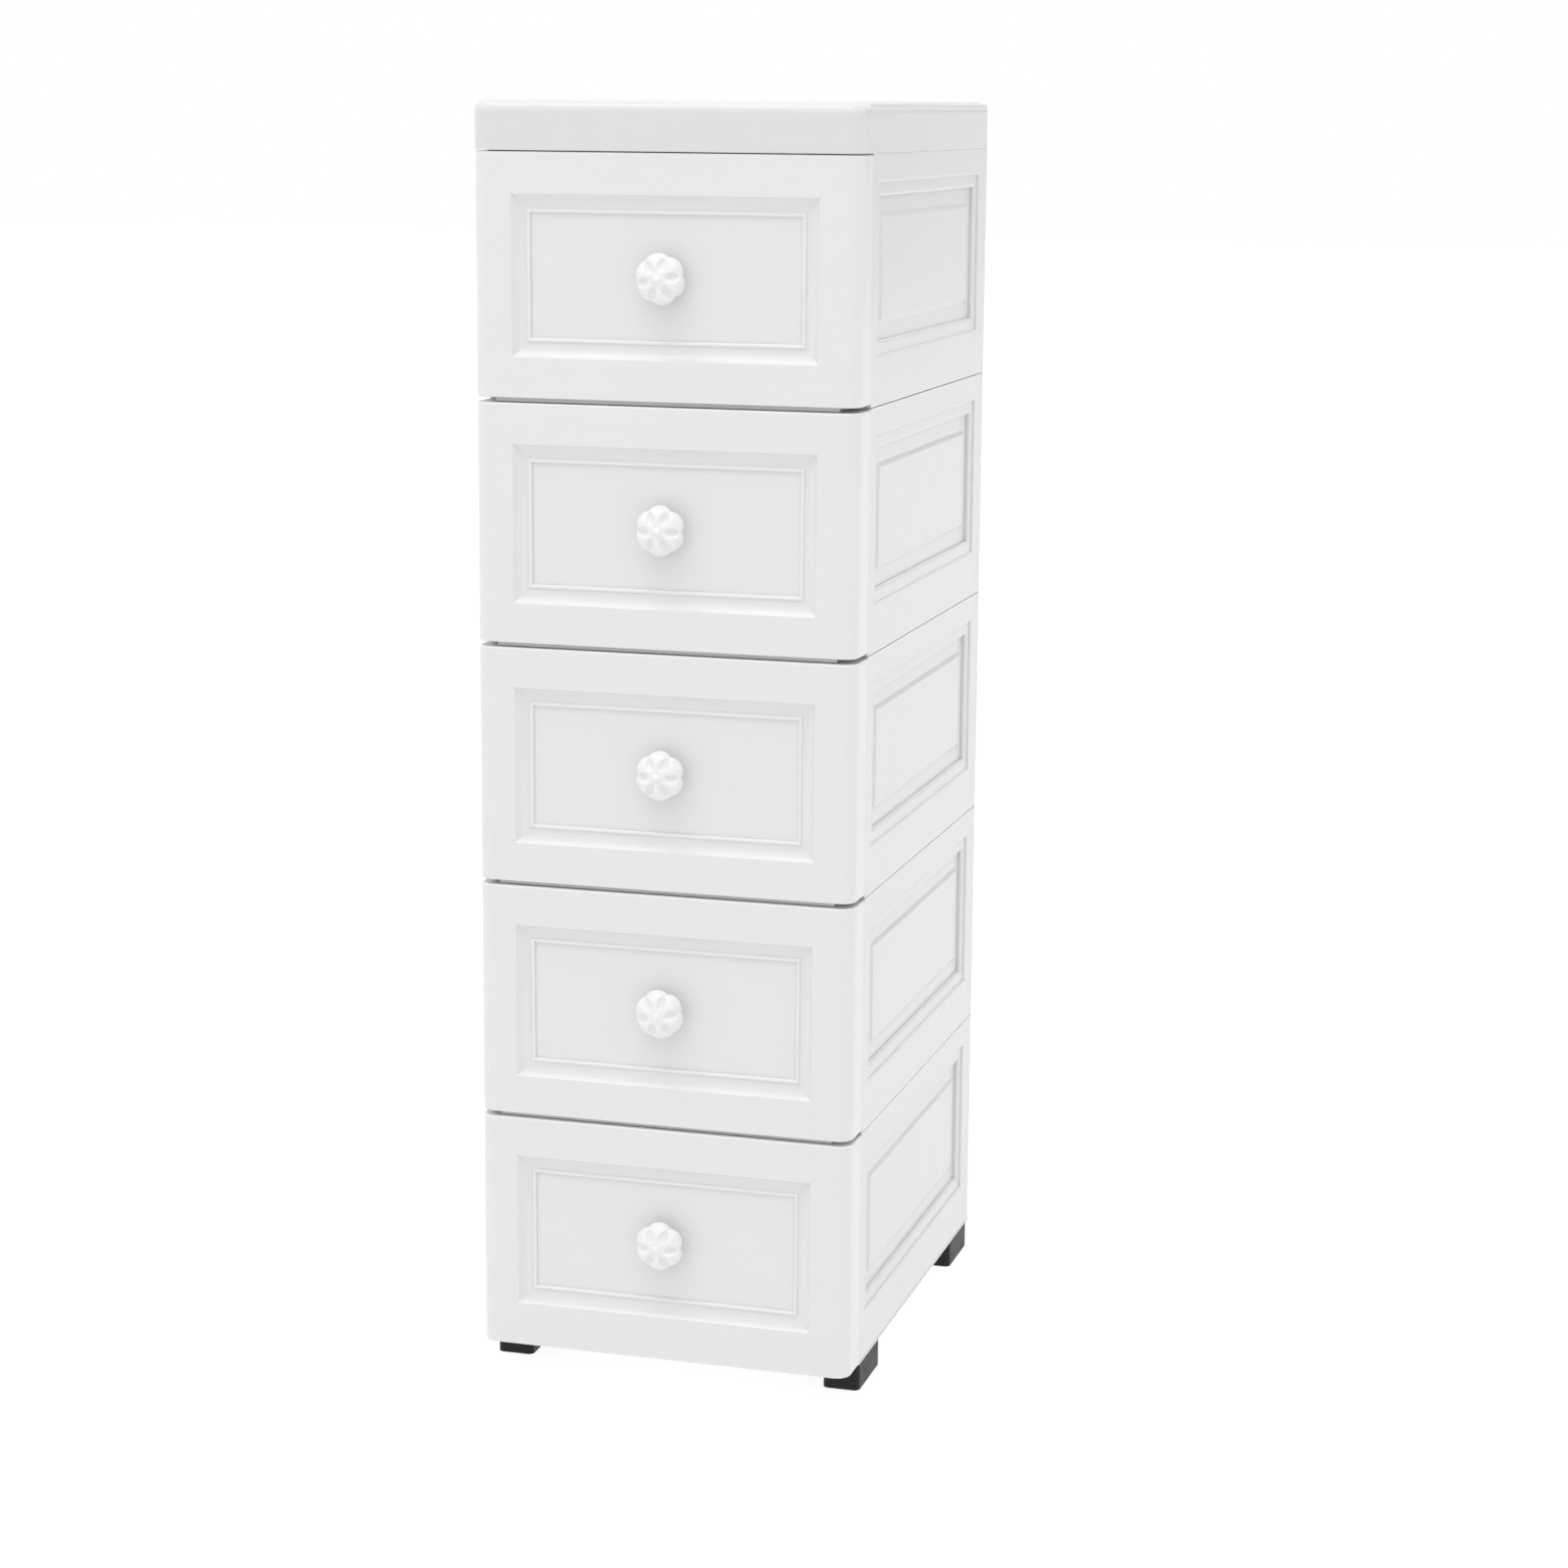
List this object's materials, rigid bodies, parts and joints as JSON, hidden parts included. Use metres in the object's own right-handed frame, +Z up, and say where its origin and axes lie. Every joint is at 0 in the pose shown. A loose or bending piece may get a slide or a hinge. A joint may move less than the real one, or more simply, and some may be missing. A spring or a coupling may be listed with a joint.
{
  "type": "plastic drawer tower",
  "caption": "Slim white moulded plastic drawer tower with panelled drawer fronts, flower knobs, panelled sides, a rounded top cover and black block feet.",
  "frame": {"origin": "on the floor, under the middle of the outline", "axes": "+Z up, drawer fronts face -Y, +X to the right seen from the front"},
  "size_m": [0.2604, 0.378, 0.8572],
  "materials": {
    "white_front": "smooth glossy injection-moulded polypropylene",
    "white_shell": "smooth glossy injection-moulded polypropylene",
    "white_inner": "satin injection-moulded polypropylene",
    "knob_white": "high gloss plastic",
    "black_foot": "matte black plastic with a fine mould texture",
    "screw_steel": "zinc plated"
  },
  "bodies": {
    "carcass": {"top_cover": "white_shell", "base_plate": "white_shell", "foot_front_left": "black_foot", "foot_front_right": "black_foot", "foot_rear_left": "black_foot", "foot_rear_right": "black_foot", "side_panel_left_1": "white_shell", "side_panel_left_2": "white_shell", "side_panel_left_3": "white_shell", "side_panel_left_4": "white_shell", "side_panel_left_5": "white_shell", "side_panel_right_1": "white_shell", "side_panel_right_2": "white_shell", "side_panel_right_3": "white_shell", "side_panel_right_4": "white_shell", "side_panel_right_5": "white_shell", "back_panel_1": "white_shell", "back_panel_2": "white_shell", "back_panel_3": "white_shell", "back_panel_4": "white_shell", "back_panel_5": "white_shell", "shelf_1": "white_inner", "shelf_2": "white_inner", "shelf_3": "white_inner", "shelf_4": "white_inner", "shelf_5": "white_inner"},
    "drawer_1": {"drawer_front_1": "white_front", "drawer_box_1": "white_inner", "knob_1": "knob_white", "knob_screw_1": "screw_steel"},
    "drawer_2": {"drawer_front_2": "white_front", "drawer_box_2": "white_inner", "knob_2": "knob_white", "knob_screw_2": "screw_steel"},
    "drawer_3": {"drawer_front_3": "white_front", "drawer_box_3": "white_inner", "knob_3": "knob_white", "knob_screw_3": "screw_steel"},
    "drawer_4": {"drawer_front_4": "white_front", "drawer_box_4": "white_inner", "knob_4": "knob_white", "knob_screw_4": "screw_steel"},
    "drawer_5": {"drawer_front_5": "white_front", "drawer_box_5": "white_inner", "knob_5": "knob_white", "knob_screw_5": "screw_steel"}
  },
  "joints": [
    {"name": "drawer_1_slide", "type": "slide", "parent": "carcass", "child": "drawer_1", "axis": [0, -1, 0], "range_m": [0, 0.24]},
    {"name": "drawer_2_slide", "type": "slide", "parent": "carcass", "child": "drawer_2", "axis": [0, -1, 0], "range_m": [0, 0.24]},
    {"name": "drawer_3_slide", "type": "slide", "parent": "carcass", "child": "drawer_3", "axis": [0, -1, 0], "range_m": [0, 0.24]},
    {"name": "drawer_4_slide", "type": "slide", "parent": "carcass", "child": "drawer_4", "axis": [0, -1, 0], "range_m": [0, 0.24]},
    {"name": "drawer_5_slide", "type": "slide", "parent": "carcass", "child": "drawer_5", "axis": [0, -1, 0], "range_m": [0, 0.24]}
  ]
}
